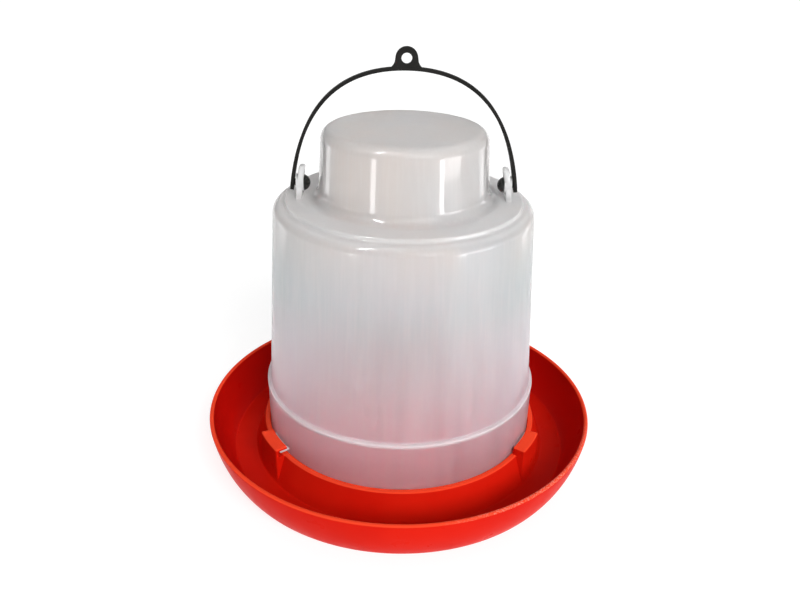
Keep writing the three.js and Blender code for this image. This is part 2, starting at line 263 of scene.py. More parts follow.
def skin_loops(bm, loops):
    """Joins equal closed loops of points into a tube, with a face on each end."""
    rings = [[bm.verts.new(p) for p in loop] for loop in loops]
    count = len(rings[0])
    for lower, upper in zip(rings, rings[1:]):
        for i in range(count):
            j = (i + 1) % count
            bm.faces.new((lower[i], lower[j], upper[j], upper[i]))
    bm.faces.new(list(reversed(rings[0])))
    bm.faces.new(rings[-1])


def turn(bm, profile, steps=ROUND_STEPS):
    """A solid of revolution about Z from a profile that starts and ends on the axis."""
    columns = []
    for k in range(steps):
        a = 2 * math.pi * k / steps
        columns.append([bm.verts.new((r * math.cos(a), r * math.sin(a), z)) for r, z in profile[1:-1]])
    first = bm.verts.new((0, 0, profile[0][1]))
    last = bm.verts.new((0, 0, profile[-1][1]))
    for k in range(steps):
        here, there = columns[k], columns[(k + 1) % steps]
        bm.faces.new((first, here[0], there[0]))
        for i in range(len(here) - 1):
            bm.faces.new((here[i], here[i + 1], there[i + 1], there[i]))
        bm.faces.new((here[-1], last, there[-1]))


def rounded_box_loop(x0, x1, y0, y1, radius, steps=4):
    """A rectangle with round corners, as pairs."""
    radius = min(radius, (x1 - x0) / 2, (y1 - y0) / 2)
    corners = (
        (x1 - radius, y1 - radius, 0), (x0 + radius, y1 - radius, 90),
        (x0 + radius, y0 + radius, 180), (x1 - radius, y0 + radius, 270),
    )
    return [p for cx, cy, a in corners for p in arc(cx, cy, radius, a, a + 90, steps)]


def sector_block(bm, inner, outer, start, end, low, high, rounding):
    """A block bent round the Z axis, between radii, angles and heights, with round edges."""
    edge = math.degrees(2 * rounding / (inner + outer))
    corner = [math.radians(22.5 * i) for i in range(4)]
    ends = [(edge * (1 - math.cos(a)), rounding * (1 - math.sin(a))) for a in corner]
    count = max(2, round(end - start))
    stations = [(start + offset, inset) for offset, inset in ends]
    stations += [(start + edge + (end - start - 2 * edge) * i / count, 0.0) for i in range(count + 1)]
    stations += [(end - offset, inset) for offset, inset in reversed(ends)]
    loops = []
    for degrees, inset in stations:
        a = math.radians(degrees)
        radius = max(rounding - inset, SMALLEST_ROUNDING)
        loop = rounded_box_loop(inner + inset, outer - inset, low + inset, high - inset, radius)
        loops.append([(r * math.cos(a), r * math.sin(a), z) for r, z in loop])
    skin_loops(bm, loops)


def combine(target, other, operation):
    """Applies an exact boolean of another bmesh to the target bmesh, and returns the result."""
    objects = []
    for name, bm in (("target", target), ("other", other)):
        bmesh.ops.remove_doubles(bm, verts=bm.verts, dist=1e-6)
        bmesh.ops.recalc_face_normals(bm, faces=bm.faces)
        mesh = bpy.data.meshes.new(name)
        bm.to_mesh(mesh)
        bm.free()
        objects.append(add_object(name, mesh))
    modifier = objects[0].modifiers.new("cut", "BOOLEAN")
    modifier.object = objects[1]
    modifier.operation = operation
    modifier.solver = "EXACT"
    depsgraph = bpy.context.evaluated_depsgraph_get()
    result = bmesh.new()
    result.from_mesh(objects[0].evaluated_get(depsgraph).to_mesh())
    for obj in objects:
        mesh = obj.data
        bpy.data.objects.remove(obj)
        bpy.data.meshes.remove(mesh)
    return result


# ---- tray ----

def tray_profile():
    """Half of the tray's section with a solid middle, from its underside round to the collar's top."""
    under = FLOOR_TOP - FLOOR_THICKNESS
    wall_top = RIM_TOP - RIM_ROUNDING
    foot_inner = FOOT_RADIUS - FOOT_WIDTH
    rounding = FOOT_ROUNDING
    points = [(0, under), (foot_inner - FOOT_DRAFT, under)]
    points += arc(foot_inner + rounding, rounding, rounding, 180, 270, 4)
    points += arc(FOOT_RADIUS - rounding, rounding, rounding, 270, 310, 3)
    points += bend(WALL_FOOT, WALL_PULL, (RIM_RADIUS, wall_top), 28)
    points += arc(RIM_RADIUS - RIM_ROUNDING, wall_top, RIM_ROUNDING, 8, 172, 14)
    inner_edge = (RIM_RADIUS - 2 * RIM_ROUNDING, wall_top)
    points += bend(inner_edge, TROUGH_PULL, (TROUGH_OUTER_RADIUS, FLOOR_TOP), 28)
    rounding = COLLAR_FOOT_ROUNDING
    points += arc(COLLAR_FOOT_RADIUS + 0.75 * rounding, FLOOR_TOP + rounding, rounding, 270, 198, 5)
    rounding = COLLAR_EDGE_ROUNDING
    points += arc(COLLAR_TOP_RADIUS - rounding, COLLAR_TOP - rounding, rounding, 18, 90, 6)
    return points + [(0, COLLAR_TOP)]


def bore_profile():
    """The space for the fount: conical in the collar, and wider between the pockets above it."""
    above = POCKET_TOP + OVERCUT
    return [
        (0, FLOOR_TOP), (COLLAR_BORE_FOOT_RADIUS, FLOOR_TOP), (COLLAR_BORE_RADIUS, COLLAR_TOP),
        (POCKET_INNER_RADIUS, COLLAR_TOP), (POCKET_INNER_RADIUS, above), (0, above),
    ]


def make_tray():
    tray = bmesh.new()
    turn(tray, tray_profile())
    inner = COLLAR_BORE_RADIUS - OVERCUT
    low = FLOOR_TOP - FLOOR_THICKNESS / 2
    blocks = bmesh.new()
    for angle in POCKET_ANGLES:
        start, end = angle - POCKET_HALF_ANGLE, angle + POCKET_HALF_ANGLE
        sector_block(blocks, inner, POCKET_RADIUS, start, end, low, POCKET_TOP, POCKET_ROUNDING)
    tray = combine(tray, blocks, "UNION")
    bore = bmesh.new()
    turn(bore, bore_profile())
    tray = combine(tray, bore, "DIFFERENCE")
    cuts = bmesh.new()
    outer = POCKET_RADIUS - POCKET_WALL
    for angle in POCKET_ANGLES:
        start = angle - POCKET_HALF_ANGLE + POCKET_END_ANGLE
        end = angle + POCKET_HALF_ANGLE + SLOT_OVERCUT_ANGLE
        sector_block(cuts, inner, outer, start, end, COLLAR_TOP, SLOT_ROOF, SLOT_ROUNDING)
    low = FLOOR_TOP + OUTLET_SILL
    outer = COLLAR_FOOT_RADIUS + OVERCUT
    for angle in OUTLET_ANGLES:
        start, end = angle - OUTLET_HALF_ANGLE, angle + OUTLET_HALF_ANGLE
        sector_block(cuts, inner, outer, start, end, low, low + OUTLET_HEIGHT, OUTLET_ROUNDING)
    tray = combine(tray, cuts, "DIFFERENCE")
    return add_object("drinking_tray_moulding", finish_mesh(tray, "drinking_tray_moulding"))


# ---- fount ----

def fount_profile():
    """The fount's section: the inside from the cap down to the mouth, and the outside back up."""
    cap_edge = CAP_TOP_RADIUS - CAP_ROUNDING
    cap_centre = CAP_TOP - CAP_ROUNDING
    fillet_x = CAP_FOOT_RADIUS + CAP_FILLET
    fillet_z = SHOULDER_HEIGHT + CAP_FILLET
    crease = SHOULDER_HEIGHT - RAISED_RING_HEIGHT
    corner_x = BODY_TOP_RADIUS - SHOULDER_ROUNDING
    corner_z = crease - SHOULDER_ROUNDING
    lip = WALL / 2
    points = [(0, CAP_TOP - WALL)]
    points += arc(cap_edge, cap_centre, CAP_ROUNDING - WALL, 90, 0, 10)
    points += arc(fillet_x, fillet_z, CAP_FILLET + WALL, 180, 270, 12)
    points += arc(corner_x, corner_z, SHOULDER_ROUNDING - WALL, 90, 5, 10)
    rounding = STEP_ROUNDING
    points += arc(BODY_FOOT_RADIUS - WALL + rounding, BEAD_TOP - BEAD_FILLET, rounding, 180, 245, 4)
    rounding = INNER_BEAD_ROUNDING
    points += arc(BEAD_RADIUS - WALL - rounding, BEAD_TOP - INNER_BEAD_DROP, rounding, 70, 0, 4)
    points += arc(MOUTH_RADIUS - lip, MOUTH_BOTTOM + lip, lip, 180, 360, 8)
    points.append((BEAD_RADIUS - BEAD_SWELL, BEAD_BOTTOM))
    points += arc(BEAD_RADIUS - BEAD_ROUNDING, BEAD_TOP - BEAD_CENTRE_DROP, BEAD_ROUNDING, -20, 78, 10)
    points += arc(BODY_FOOT_RADIUS + BEAD_FILLET, BEAD_TOP + BEAD_FILLET_RISE, BEAD_FILLET, 262, 183, 5)
    points += arc(corner_x, corner_z, SHOULDER_ROUNDING, 4, 84, 14)
    rounding = RAISED_RING_FILLET
    points += arc(RAISED_RING_RADIUS + rounding, crease + rounding, rounding, 265, 190, 6)
    rounding = RAISED_RING_ROUNDING
    points += arc(RAISED_RING_RADIUS - rounding, SHOULDER_HEIGHT - rounding, rounding, 5, 90, 6)
    points += arc(fillet_x, fillet_z, CAP_FILLET, 270, 180, 14)
    points += arc(cap_edge, cap_centre, CAP_ROUNDING, 0, 90, 14)
    return points + [(0, CAP_TOP)]


def ear_half_width(z):
    """Half of the right-hand ear's width: a broad foot that narrows to a round tip."""
    tip_centre = EAR_TOP - EAR_TIP_RADIUS
    if z > tip_centre:
        return math.sqrt(max(EAR_TIP_RADIUS ** 2 - (z - tip_centre) ** 2, 0.0))
    if z > EAR_NECK_HEIGHT:
        return EAR_TIP_RADIUS
    down = max(0.0, EAR_NECK_HEIGHT - z) / (EAR_NECK_HEIGHT - EAR_FOOT)
    return EAR_TIP_RADIUS + (EAR_FOOT_HALF_WIDTH - EAR_TIP_RADIUS) * down ** EAR_FLARE_POWER


def ear_loops():
    """Cross-sections of the right-hand ear, from its foot in the shoulder to its rounded tip."""
    tip_centre = EAR_TOP - EAR_TIP_RADIUS
    heights = [EAR_FOOT + (tip_centre - EAR_FOOT) * i / 28 for i in range(29)]
    heights += [tip_centre + EAR_TIP_RADIUS * math.sin(math.radians(a)) for a in range(6, 90, 6)]
    half_thick = (EAR_OUTER - EAR_INNER) / 2
    loops = []
    for z in heights:
        lean = EAR_LEAN * max(0.0, (z - EAR_LEAN_START) / (EAR_TOP - EAR_LEAN_START)) ** EAR_LEAN_POWER
        rise = max(0.0, z - (EAR_TOP - half_thick)) / half_thick
        half = half_thick * math.sqrt(max(0.02, 1 - rise * rise))
        centre = (EAR_OUTER + EAR_INNER) / 2 - lean
        width = max(ear_half_width(z), THINNEST)
        outline = rounded_box_loop(centre - half, centre + half, -width, width, EAR_ROUNDING)
        loops.append([(x, y, z) for x, y in outline])
    return loops


def pivot_disc(bm, radius, start, end, steps=PIN_STEPS):
    """A disc about the pivots' axis, from x = start to x = end."""
    loops = []
    for x in (start, end):
        ring = [2 * math.pi * i / steps for i in range(steps)]
        loops.append([(x, radius * math.cos(a), PIVOT_HEIGHT + radius * math.sin(a)) for a in ring])
    skin_loops(bm, loops)


def both_sides(bm):
    """Adds the mirror image in X of everything in the bmesh."""
    copy = bmesh.ops.duplicate(bm, geom=bm.verts[:] + bm.edges[:] + bm.faces[:])["geom"]
    verts = [v for v in copy if isinstance(v, bmesh.types.BMVert)]
    bmesh.ops.transform(bm, matrix=Matrix.Scale(-1, 4, (1, 0, 0)), verts=verts)
    return bm


def make_fount():
    fount = bmesh.new()
    turn(fount, fount_profile())
    ears = bmesh.new()
    skin_loops(ears, ear_loops())
    boss = bmesh.new()
    pivot_disc(boss, BOSS_RADIUS, BOSS_INNER, EAR_OUTER)
    ears = both_sides(combine(ears, boss, "UNION"))
    for angle in POCKET_ANGLES:
        start = angle - POCKET_HALF_ANGLE + POCKET_END_ANGLE + LUG_CLEARANCE_ANGLE
        end = angle + POCKET_HALF_ANGLE - LUG_INSET_ANGLE
        sector_block(ears, MOUTH_RADIUS - WALL / 2, LUG_RADIUS, start, end,
                     LUG_BOTTOM, LUG_BOTTOM + LUG_HEIGHT, LUG_ROUNDING)
    fount = combine(fount, ears, "UNION")
    cuts = bmesh.new()
    inner, outer = BOSS_INNER - PIVOT_HOLE_OVERCUT, EAR_OUTER + PIVOT_HOLE_OVERCUT
    pivot_disc(cuts, PIVOT_HOLE_RADIUS, inner, outer)
    both_sides(cuts)
    low = MOUTH_BOTTOM - VENT_OVERCUT
    for angle in VENT_ANGLES:
        start, end = angle - VENT_HALF_ANGLE, angle + VENT_HALF_ANGLE
        sector_block(cuts, VENT_INNER_RADIUS, VENT_OUTER_RADIUS, start, end, low, VENT_TOP, VENT_ROUNDING)
    fount = combine(fount, cuts, "DIFFERENCE")
    return add_object("water_fount_moulding", finish_mesh(fount, "water_fount_moulding"))


# ---- bail ----

def bail_point(t):
    """The strap's centre line on the right side, and its direction, at t from 0 to 1."""
    a, b, c, d = BAIL_CURVE
    u = 1 - t
    place = u ** 3 * a + 3 * u * u * t * b + 3 * u * t * t * c + t ** 3 * d
    along = 3 * u * u * (b - a) + 6 * u * t * (c - b) + 3 * t * t * (d - c)
    return place, along.normalized()


def bail_half_width(z):
    radius = BAIL_END_WIDTH / 2
    if z < PIVOT_HEIGHT:
        return math.sqrt(max(radius ** 2 - (PIVOT_HEIGHT - z) ** 2, THINNEST ** 2))
    taper = max(0.0, (z - TAPER_START) / (BAIL_CURVE[3].z - TAPER_START))
    return radius + (BAIL_CROWN_WIDTH / 2 - radius) * taper


def bail_stations():
    """Places and travel directions along the strap, from the right end over the crown to the left."""
    start, along = bail_point(0)
    drop = start.z - (PIVOT_HEIGHT - BAIL_END_WIDTH / 2)
    stations = [(start - along * drop * math.cos(math.radians(10 * i)) / along.z, along) for i in range(9)]
    stations += [bail_point(i / 60) for i in range(61)]
    back = [(Vector((-p.x, 0, p.z)), Vector((d.x, 0, -d.z))) for p, d in reversed(stations[:-1])]
    return stations + back


def bail_loops():
    loops = []
    for place, along in bail_stations():
        across = Vector((along.z, 0, -along.x))
        half_width = bail_half_width(place.z)
        half_thick = BAIL_THICKNESS / 2
        outline = rounded_box_loop(-half_thick, half_thick, -half_width, half_width, BAIL_ROUNDING)
        loops.append([place + across * x + Vector((0, y, 0)) for x, y in outline])
    return loops


def tab_outline():
    """The eye tab's outline in X and Z: a round top on sides that flare into the strap."""
    base = BAIL_CURVE[3].z + TAB_LIFT
    neck = TAB_RADIUS + TAB_NECK_SPREAD
    pull = (neck + 2 * TAB_NECK_SPREAD, base + 0.4 * TAB_NECK_HEIGHT)
    flare = bend((TAB_BASE_HALF_WIDTH, base), pull, (neck, base + TAB_NECK_HEIGHT), 8)
    top = arc(0, TAB_TOP - TAB_RADIUS, TAB_RADIUS, 8, 172, 40)
    return flare + top + [(-x, z) for x, z in reversed(flare)]


def front_plate(outlines, thickness, rounding):
    """A plate from outlines in X and Z, the later ones being holes, with rounded edges."""
    curve = bpy.data.curves.new("plate", "CURVE")
    curve.dimensions = "2D"
    curve.fill_mode = "BOTH"
    curve.extrude = thickness / 2 - rounding
    curve.bevel_depth = rounding
    curve.bevel_resolution = 2
    curve.offset = -rounding
    for outline in outlines:
        spline = curve.splines.new("POLY")
        spline.points.add(len(outline) - 1)
        spline.use_cyclic_u = True
        for vertex, (x, z) in zip(spline.points, outline):
            vertex.co = (x, z, 0, 1)
    obj = add_object("plate", curve)
    plate = bmesh.new()
    plate.from_mesh(obj.evaluated_get(bpy.context.evaluated_depsgraph_get()).to_mesh())
    bpy.data.objects.remove(obj)
    bmesh.ops.rotate(plate, matrix=Matrix.Rotation(math.radians(90), 3, "X"), verts=plate.verts)
    return plate


def make_bail():
    strap = bmesh.new()
    skin_loops(strap, bail_loops())
    eye = arc(0, EYE_HEIGHT, EYE_RADIUS, 0, 352.5, 47)
    bail = combine(strap, front_plate([tab_outline(), eye], TAB_THICKNESS, BAIL_ROUNDING), "UNION")
    holes = bmesh.new()
    pivot_disc(holes, BAIL_HOLE_RADIUS, BAIL_CURVE[0].x - OVERCUT, BAIL_CURVE[0].x + OVERCUT)
    bail = combine(bail, both_sides(holes), "DIFFERENCE")
    return add_object("bail_moulding", finish_mesh(bail, "bail_moulding"))


# ---- pivot pins ----

def pin_profile():
    """Radius and place along X, from the dome's apex to the tail."""
    height = PIN_HEAD_BASE - PIN_APEX
    dome = (PIN_HEAD_RADIUS ** 2 + height ** 2) / (2 * height)
    edge = math.degrees(math.asin(PIN_HEAD_RADIUS / dome))
    points = arc(0, PIN_APEX + dome, dome, -90, edge - 90 - 3, 16)
    rounding = PIN_ROUNDING
    points += arc(PIN_HEAD_RADIUS - rounding, PIN_HEAD_BASE - rounding, rounding, 0, 90, 4)
    points += [(PIN_RADIUS, PIN_HEAD_BASE), (PIN_RADIUS, PIN_SHOULDER), (PIN_TAIL_RADIUS, PIN_SHOULDER)]
    points += arc(PIN_TAIL_RADIUS - rounding, PIN_END - rounding, rounding, 0, 90, 4)
    return points + [(0, PIN_END)]


def make_pin(name, side):
    pin = bmesh.new()
    turn(pin, pin_profile(), PIN_STEPS)
    bmesh.ops.rotate(pin, matrix=Matrix.Rotation(math.radians(90), 3, "Y"), verts=pin.verts)
    bmesh.ops.translate(pin, vec=(0, 0, PIVOT_HEIGHT), verts=pin.verts)
    if side < 0:
        bmesh.ops.transform(pin, matrix=Matrix.Scale(-1, 4, (1, 0, 0)), verts=pin.verts)
    return add_object(name, finish_mesh(pin, name))


# ---- materials ----

class Finish:
    """A material with one Principled shader, and short ways to add nodes to it."""

    def __init__(self, name):
        self.material = bpy.data.materials.new(name)
        self.material.use_nodes = True
        self.tree = self.material.node_tree
        self.tree.nodes.clear()
        self.output = self.tree.nodes.new("ShaderNodeOutputMaterial")
        self.shader = self.tree.nodes.new("ShaderNodeBsdfPrincipled")
        self.link(self.shader.outputs[0], self.output.inputs["Surface"])
        self.coords = self.tree.nodes.new("ShaderNodeTexCoord").outputs["Object"]

    def link(self, source, target):
        self.tree.links.new(source, target)

    def set(self, **values):
        for name, value in values.items():
            self.shader.inputs[name.replace("_", " ")].default_value = value

    def drive(self, **sources):
        for name, source in sources.items():
            self.link(source, self.shader.inputs[name.replace("_", " ")])

    def split(self, vector):
        """The X, Y and Z parts of a vector."""
        node = self.tree.nodes.new("ShaderNodeSeparateXYZ")
        self.link(vector, node.inputs[0])
        return tuple(node.outputs)

    def place(self):
        """A point's X, its Y, its height above the ground, and its distance from the Z axis."""
        x, y, height = self.split(self.coords)
        square = self.calc("ADD", self.calc("POWER", x, 2), self.calc("POWER", y, 2))
        return x, y, height, self.calc("SQRT", square)

    def upward(self):
        """1 where the surface faces up, 0 where it is upright, and -1 where it faces down."""
        return self.split(self.tree.nodes.new("ShaderNodeNewGeometry").outputs["Normal"])[2]

    def noise(self, scale, detail=2.0, stretch=(1, 1, 1)):
        mapping = self.tree.nodes.new("ShaderNodeMapping")
        mapping.inputs["Scale"].default_value = stretch
        self.link(self.coords, mapping.inputs["Vector"])
        node = self.tree.nodes.new("ShaderNodeTexNoise")
        node.inputs["Scale"].default_value = scale
        node.inputs["Detail"].default_value = detail
        self.link(mapping.outputs[0], node.inputs["Vector"])
        return node.outputs["Fac"]

    def calc(self, operation, *terms):
        """A Math node. Each term may be a number or a socket."""
        node = self.tree.nodes.new("ShaderNodeMath")
        node.operation = operation
        for socket, term in zip(node.inputs, terms):
            if isinstance(term, (int, float)):
                socket.default_value = term
            else:
                self.link(term, socket)
        return node.outputs[0]

    def product(self, first, *others):
        for other in others:
            first = self.calc("MULTIPLY", first, other)
        return first

    def largest(self, first, *others):
        for other in others:
            first = self.calc("MAXIMUM", first, other)
        return first

    def remap(self, source, low, high, to_low, to_high):
        node = self.tree.nodes.new("ShaderNodeMapRange")
        for name, value in (("From Min", low), ("From Max", high), ("To Min", to_low), ("To Max", to_high)):
            node.inputs[name].default_value = value
        self.link(source, node.inputs["Value"])
        return node.outputs["Result"]

    def band(self, source, low, high, soft):
        """1 between low and high, and 0 beyond a soft edge on each side."""
        half = (high - low) / 2
        offset = self.calc("ABSOLUTE", self.calc("SUBTRACT", source, (low + high) / 2))
        return self.remap(offset, half, half + soft, 1, 0)

    def blend(self, factor, first, second):
        """A colour that goes from first to second with factor. Either may be a colour or a socket."""
        node = self.tree.nodes.new("ShaderNodeMix")
        node.data_type = "RGBA"
        self.link(factor, node.inputs["Factor"])
        for socket, value in ((node.inputs[6], first), (node.inputs[7], second)):
            if isinstance(value, tuple):
                socket.default_value = (*value, 1)
            else:
                self.link(value, socket)
        return node.outputs[2]

    def bump(self, height, distance, base=None):
        """Relief of a depth in metres, over the relief of another bump if base is given."""
        node = self.tree.nodes.new("ShaderNodeBump")
        node.inputs["Strength"].default_value = 1
        node.inputs["Distance"].default_value = distance
        self.link(height, node.inputs["Height"])
        if base is not None:
            self.link(base, node.inputs["Normal"])
        return node.outputs["Normal"]


def tray_edges(finish, height, radius):
    """Two masks for painted highlights: the tray's rim, and all its moulded edges, which the pockets and
    the collar have too.
    """
    rim = finish.band(height, RIM_TOP - 0.8 * MM, RIM_TOP, 0.8 * MM)
    pockets = finish.band(height, POCKET_TOP - 0.5 * MM, POCKET_TOP, 0.4 * MM)
    pocket_reach = finish.remap(radius, POCKET_RADIUS, POCKET_RADIUS + 1 * MM, 1, 0)
    collar = finish.band(height, COLLAR_TOP - 0.6 * MM, COLLAR_TOP, 0.4 * MM)
    collar_edge = COLLAR_TOP_RADIUS + 0.5 * MM
    collar_reach = finish.remap(radius, collar_edge, collar_edge + 0.5 * MM, 1, 0)
    pockets = finish.product(pockets, pocket_reach)
    collar = finish.product(collar, collar_reach)
    return rim, finish.largest(rim, pockets, collar)


def tray_plastic():
    """Glossy red polypropylene, with painted highlights on its moulded edges, painted shade in the trough,
    and painted glints on the rim towards the front-right.
    """
    finish = Finish("red_tray_plastic")
    x, y, height, radius = finish.place()
    cloud = finish.remap(finish.noise(22, 4), 0.35, 0.65, 0, 1)
    colour = finish.blend(cloud, *TRAY_REDS)
    # Painted shade: the trough's upward-facing floor and inner walls turn a darker red, more on the walls
    # than on the floor.
    facing = finish.remap(finish.upward(), -0.05, 0.15, 0, 1)
    trough = finish.remap(radius, COLLAR_FOOT_RADIUS, COLLAR_FOOT_RADIUS + 3 * MM, 0, 1)
    wall = finish.remap(height, FLOOR_TOP + 0.2 * MM, FLOOR_TOP + 1 * MM, 0.2, 0.8)
    colour = finish.blend(finish.product(wall, facing, trough), colour, TROUGH_SHADE_RED)
    rim, edges = tray_edges(finish, height, radius)
    # Painted highlight: the rim's top and the top edges of the pockets and the collar turn a paler
    # orange-red, as if catching the light.
    colour = finish.blend(finish.product(edges, 0.85), colour, EDGE_HIGHLIGHT_RED)
    # Painted glints: pale pink flecks on the rim's top, towards the front-right where the key light falls.
    glint_specks = finish.remap(finish.noise(1100, 3), 0.50, 0.62, 0, 0.4)
    front_right = finish.calc("SUBTRACT", x, y)
    glint_side = finish.remap(front_right, GLINT_RIM_START, RIM_RADIUS * math.sqrt(2), 0, 1)
    finish.drive(Base_Color=finish.blend(finish.product(glint_specks, rim, glint_side), colour, GLINT_PINK))
    finish.drive(Roughness=finish.remap(finish.noise(60, 5), 0.3, 0.7, 0.26, 0.4))
    finish.drive(Normal=finish.bump(finish.noise(500, 2), 0.01 * MM))
    finish.set(Specular_IOR_Level=0.015)
    return finish.material


def thick_and_lit_parts(finish, x, height, radius):
    """How much whiter the fount is made, from 0 in its walls to 1 in its thick ears and lugs; the bead is
    whiter partly for thickness and partly as a painted highlight, and the shoulder ring and cap top only as
    painted light.
    """
    # The bead is whitened partly for its thicker plastic and partly as a painted highlight along its top.
    bead = finish.band(height, BEAD_BOTTOM + 0.5 * MM, BEAD_TOP, 0.5 * MM)
    side = finish.calc("ABSOLUTE", x)
    ear_side = finish.remap(side, BOSS_INNER - 2.5 * MM, BOSS_INNER - 1.5 * MM, 0, 1)
    ear = finish.product(ear_side, finish.remap(height, SHOULDER_HEIGHT, EAR_LEAN_START, 0, 1))
    outside_skirt = finish.remap(radius, MOUTH_RADIUS + 0.4 * MM, MOUTH_RADIUS + 1 * MM, 0, 1)
    lug = finish.product(outside_skirt, finish.remap(height, COLLAR_TOP, 2 * COLLAR_TOP, 1, 0))
    # Painted light: the shoulder ring and the cap's top are whitened though not thicker, standing in for
    # light on these upward faces.
    ring = finish.band(height, SHOULDER_HEIGHT - 4 * MM, SHOULDER_HEIGHT + 1 * MM, 2 * MM)
    ring_reach = finish.remap(radius, CAP_FOOT_RADIUS + 4 * MM, CAP_FOOT_RADIUS + 9 * MM, 0, 0.6)
    cap_top = finish.remap(height, CAP_TOP - CAP_ROUNDING, CAP_TOP, 0, 0.4)
    return finish.largest(finish.product(bead, 0.7), ear, lug, finish.product(ring, ring_reach), cap_top)


def fount_plastic():
    """Milky polyethylene with upright draw lines: whiter where it is thick, whiter as painted light on the
    bead, shoulder ring and cap top, and with a painted pink glow of the red tray near the mouth.
    """
    finish = Finish("milky_fount_plastic")
    x, _, height, radius = finish.place()
    thick_and_lit = thick_and_lit_parts(finish, x, height, radius)
    draw = finish.remap(finish.noise(110, 5, (1, 1, 0.02)), 0.3, 0.7, 0, 1)
    cloud = finish.remap(finish.noise(20, 2, (1, 1, 0.4)), 0.35, 0.65, 0, 1)
    # Painted light: the skirt's pink stands in for the red tray's glow through the plastic, and fades out
    # up the body.
    skirt = finish.blend(draw, *SKIRT_PINK_GLOW_MILKS)
    body = finish.blend(draw, *BODY_MILKS)
    cap = finish.blend(finish.product(draw, 0.6), finish.blend(cloud, *CAP_MILKS), CAP_STREAK_MILK)
    colour = finish.blend(finish.remap(height, BEAD_TOP, 2.3 * BEAD_TOP, 0, 1), skirt, body)
    colour = finish.blend(finish.remap(height, 2.5 * BEAD_TOP, SHOULDER_HEIGHT, 0, 1), colour, cap)
    hair = finish.remap(finish.noise(420, 2, (1, 1, 0.01)), 0.45, 0.7, 0, 0.28)
    colour = finish.blend(hair, colour, HAIR_MILK)
    finish.drive(Base_Color=finish.blend(thick_and_lit, colour, THICK_AND_LIT_MILK))
    clear = finish.remap(draw, 0, 1, 0.76, 0.84)
    clear = finish.calc("SUBTRACT", clear, finish.remap(height, BEAD_TOP, 1.7 * BEAD_TOP, 0, 0.07))
    clear = finish.calc("SUBTRACT", clear, finish.product(thick_and_lit, 0.38))
    finish.drive(Transmission_Weight=clear)
    finish.drive(Roughness=finish.remap(finish.noise(45, 4), 0.3, 0.7, 0.46, 0.54))
    gloss = finish.remap(height, SHOULDER_HEIGHT - 15 * MM, SHOULDER_HEIGHT - 2.5 * MM, 0.4, 1)
    satin_top = finish.remap(finish.upward(), 0.75, 0.95, 1, 0.05)
    finish.drive(Coat_Weight=finish.product(gloss, satin_top))
    grain = finish.bump(finish.noise(400, 3), 0.004 * MM)
    finish.drive(Normal=finish.bump(draw, 0.05 * MM, grain))
    finish.set(IOR=1.35, Coat_Roughness=0.08, Coat_IOR=1.45)
    return finish.material


def bail_plastic():
    """Black polypropylene with a fine grain, slightly greyer in patches."""
    finish = Finish("black_bail_plastic")
    cloud = finish.remap(finish.noise(60, 4), 0.35, 0.65, 0, 1)
    finish.drive(Base_Color=finish.blend(cloud, *BAIL_BLACKS))
    finish.drive(Roughness=finish.remap(finish.noise(180, 4), 0.3, 0.7, 0.46, 0.62))
    finish.drive(Normal=finish.bump(finish.noise(900, 3), 0.03 * MM))
    finish.set(Specular_IOR_Level=0.12)
    return finish.material


def pin_plastic():
    """Black nylon, a little shinier than the bail."""
    finish = Finish("black_pin_plastic")
    cloud = finish.remap(finish.noise(300, 3), 0.35, 0.65, 0, 1)
    finish.drive(Base_Color=finish.blend(cloud, *PIN_BLACKS))
    finish.drive(Roughness=finish.remap(finish.noise(500, 3), 0.3, 0.7, 0.22, 0.38))
    finish.drive(Normal=finish.bump(finish.noise(900, 3), 0.03 * MM))
    finish.set(Specular_IOR_Level=0.5)
    return finish.material


def floor_paint():
    finish = Finish("pale_floor")
    grey = (FLOOR_ALBEDO, FLOOR_ALBEDO, FLOOR_ALBEDO, 1)
    finish.set(Base_Color=grey, Roughness=0.8, Specular_IOR_Level=0.1)
    finish.set(Emission_Color=(1, 1, 1, 1), Emission_Strength=FLOOR_GLOW)
    return finish.material


# ---- camera and light ----

def set_camera():
    """The photograph's viewpoint, turned a little round the object so that its ears lie on X."""
    elevation, roll = math.radians(CAMERA_ELEVATION), math.radians(CAMERA_ROLL)
    backward = Vector((0, -math.cos(elevation), math.sin(elevation)))
    up = Vector((0, math.sin(elevation), math.cos(elevation)))
    right = Vector((1, 0, 0))
    place = CAMERA_TARGET + backward * CAMERA_DISTANCE
    rolled_right = right * math.cos(roll) + up * math.sin(roll)
    rolled_up = up * math.cos(roll) - right * math.sin(roll)
    axes = Matrix((rolled_right, rolled_up, backward)).transposed().to_4x4()
    data = bpy.data.cameras.new("camera")
    data.lens = CAMERA_LENS
    data.sensor_width = CAMERA_SENSOR
    data.shift_x = CAMERA_SHIFT
    camera = add_object("camera", data)
    turned = Matrix.Rotation(math.radians(CAMERA_AZIMUTH), 4, "Z")
    camera.matrix_world = turned @ Matrix.Translation(place) @ axes
    bpy.context.scene.camera = camera


def direction(azimuth, elevation):
    """A direction from the object. Azimuth 0 is the front, and grows towards +X."""
    a, e = math.radians(azimuth), math.radians(elevation)
    return Vector((math.sin(a) * math.cos(e), -math.cos(a) * math.cos(e), math.sin(e)))


